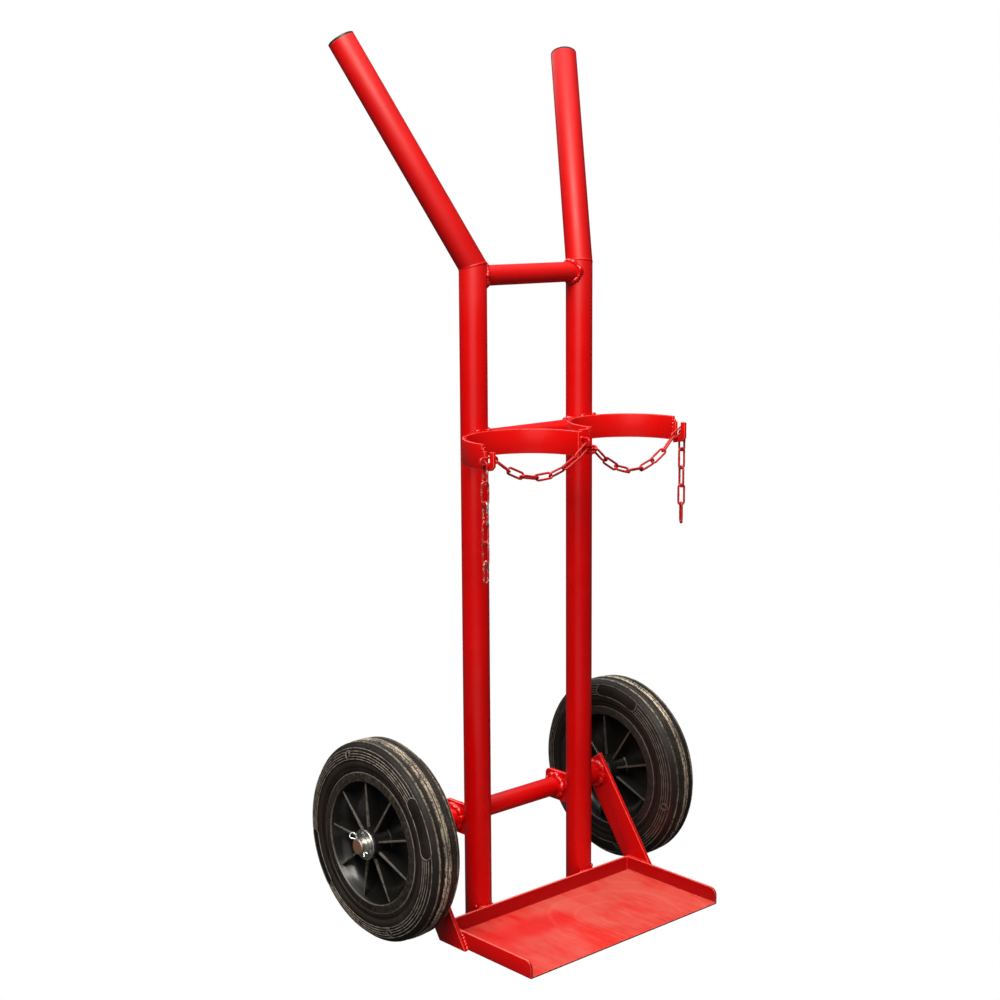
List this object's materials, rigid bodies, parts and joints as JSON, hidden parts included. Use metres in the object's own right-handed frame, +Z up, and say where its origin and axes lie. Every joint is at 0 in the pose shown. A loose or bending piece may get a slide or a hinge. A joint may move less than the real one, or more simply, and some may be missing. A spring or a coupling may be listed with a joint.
{
  "type": "hand truck",
  "caption": "Gas-bottle hand truck: welded red tube frame, splayed handles, folded toe plate, curved bottle bands, safety chains with tails, and spoked rubber-tyred wheels.",
  "frame": {"origin": "on the floor, at the middle of the bounding box; the truck stands on its toe plate and both tyres", "axes": "+Z up, -Y the way the toe plate points, +Y the way the handles lean, +X to the right seen from the front; the frame is a mirror image about X = 0 but for small differences in the bands and struts"},
  "size_m": [0.497, 0.343, 1.0955],
  "materials": {
    "red_paint": "gloss red enamel over mild steel, lightly scuffed",
    "chain_paint": "red paint over steel chain, chipped",
    "black_plastic": "moulded black plastic, satin",
    "tyre_rubber": "black solid rubber, dusty",
    "zinc": "bright zinc plate",
    "axle_steel": "bare steel bar with light rust on the end faces"
  },
  "bodies": {
    "frame": {"upright_left": "red_paint", "upright_right": "red_paint", "handle_left": "red_paint", "handle_right": "red_paint", "handle_cap_left": "black_plastic", "handle_cap_right": "black_plastic", "top_crossbar": "red_paint", "cradle_crossbar": "red_paint", "band_left": "red_paint", "band_right": "red_paint", "band_join_plate": "red_paint", "chain_catch_left": "red_paint", "chain_catch_right": "red_paint", "chain_eye_left": "red_paint", "chain_eye_right": "red_paint", "toe_plate": "red_paint", "strut_left": "red_paint", "strut_right": "red_paint", "axle_bracket_left": "red_paint", "axle_bracket_right": "red_paint", "axle_tube": "red_paint", "axle_rod": "axle_steel", "inner_washer_left": "zinc", "inner_washer_right": "zinc", "outer_washer_left": "zinc", "outer_washer_right": "zinc", "cotter_pin_left": "zinc", "cotter_pin_right": "zinc", "chain_left_catch": "chain_paint", "chain_right_catch": "chain_paint"},
    "wheel_left": {"tyre_left": "tyre_rubber", "wheel_centre_left": "black_plastic"},
    "chain_left": {"chain_left_1": "chain_paint", "chain_left_2": "chain_paint", "chain_left_3": "chain_paint", "chain_left_4": "chain_paint", "chain_left_5": "chain_paint", "chain_left_6": "chain_paint", "chain_left_7": "chain_paint"},
    "tail_left_1": {"chain_left_tail_1": "chain_paint"},
    "tail_left_2": {"chain_left_tail_2": "chain_paint"},
    "tail_left_3": {"chain_left_tail_3": "chain_paint"},
    "tail_left_4": {"chain_left_tail_4": "chain_paint"},
    "tail_left_5": {"chain_left_tail_5": "chain_paint"},
    "tail_left_6": {"chain_left_tail_6": "chain_paint"},
    "wheel_right": {"tyre_right": "tyre_rubber", "wheel_centre_right": "black_plastic"},
    "chain_right": {"chain_right_1": "chain_paint", "chain_right_2": "chain_paint", "chain_right_3": "chain_paint", "chain_right_4": "chain_paint", "chain_right_5": "chain_paint", "chain_right_6": "chain_paint", "chain_right_7": "chain_paint"},
    "tail_right_1": {"chain_right_tail_1": "chain_paint"},
    "tail_right_2": {"chain_right_tail_2": "chain_paint"},
    "tail_right_3": {"chain_right_tail_3": "chain_paint"},
    "tail_right_4": {"chain_right_tail_4": "chain_paint"},
    "tail_right_5": {"chain_right_tail_5": "chain_paint"}
  },
  "joints": [
    {"name": "wheel_left_spin", "type": "hinge", "parent": "frame", "child": "wheel_left", "pos_m": [-0.207, 0.0465, 0.125], "axis": [1, 0, 0], "continuous": true},
    {"name": "chain_left_swing", "type": "hinge", "parent": "frame", "child": "chain_left", "pos_m": [-0.00493, -0.10423, 0.60815], "axis": [-0.9996, 0, -0.0282], "range_deg": [-12, 20]},
    {"name": "chain_left_tail_1_swing", "type": "hinge", "parent": "frame", "child": "tail_left_1", "pos_m": [-0.1698, -0.10423, 0.60155], "axis": [1, 0, 0], "range_deg": [-32, 32]},
    {"name": "chain_left_tail_2_swing", "type": "hinge", "parent": "tail_left_1", "child": "tail_left_2", "pos_m": [-0.1698, -0.10423, 0.57875], "axis": [-0.0349, -0.9994, 0], "range_deg": [-32, 32]},
    {"name": "chain_left_tail_3_swing", "type": "hinge", "parent": "tail_left_2", "child": "tail_left_3", "pos_m": [-0.1698, -0.10423, 0.55565], "axis": [0.9063, -0.4226, 0], "range_deg": [-32, 32]},
    {"name": "chain_left_tail_4_swing", "type": "hinge", "parent": "tail_left_3", "child": "tail_left_4", "pos_m": [-0.1698, -0.10423, 0.53255], "axis": [-0.0349, -0.9994, 0], "range_deg": [-32, 32]},
    {"name": "chain_left_tail_5_swing", "type": "hinge", "parent": "tail_left_4", "child": "tail_left_5", "pos_m": [-0.1698, -0.10423, 0.50945], "axis": [0.9925, -0.1219, 0], "range_deg": [-32, 32]},
    {"name": "chain_left_tail_6_swing", "type": "hinge", "parent": "tail_left_5", "child": "tail_left_6", "pos_m": [-0.1698, -0.10423, 0.48635], "axis": [0.2924, -0.9563, 0], "range_deg": [-32, 32]},
    {"name": "wheel_right_spin", "type": "hinge", "parent": "frame", "child": "wheel_right", "pos_m": [0.207, 0.0465, 0.125], "axis": [1, 0, 0], "continuous": true},
    {"name": "chain_right_swing", "type": "hinge", "parent": "frame", "child": "chain_right", "pos_m": [0.00251, -0.10888, 0.60276], "axis": [0.9995, 0.0321, 0.0033], "range_deg": [-4, 20]},
    {"name": "chain_right_tail_1_swing", "type": "hinge", "parent": "frame", "child": "tail_right_1", "pos_m": [0.1624, -0.10423, 0.60754], "axis": [1, 0, 0], "range_deg": [-32, 32]},
    {"name": "chain_right_tail_2_swing", "type": "hinge", "parent": "tail_right_1", "child": "tail_right_2", "pos_m": [0.1624, -0.10423, 0.58474], "axis": [0.1564, -0.9877, 0], "range_deg": [-32, 32]},
    {"name": "chain_right_tail_3_swing", "type": "hinge", "parent": "tail_right_2", "child": "tail_right_3", "pos_m": [0.1624, -0.10423, 0.56164], "axis": [0.9703, -0.2419, 0], "range_deg": [-32, 32]},
    {"name": "chain_right_tail_4_swing", "type": "hinge", "parent": "tail_right_3", "child": "tail_right_4", "pos_m": [0.1624, -0.10423, 0.53854], "axis": [-0.1392, -0.9903, 0], "range_deg": [-32, 32]},
    {"name": "chain_right_tail_5_swing", "type": "hinge", "parent": "tail_right_4", "child": "tail_right_5", "pos_m": [0.1624, -0.10423, 0.51544], "axis": [0.866, -0.5, 0], "range_deg": [-32, 32]}
  ]
}
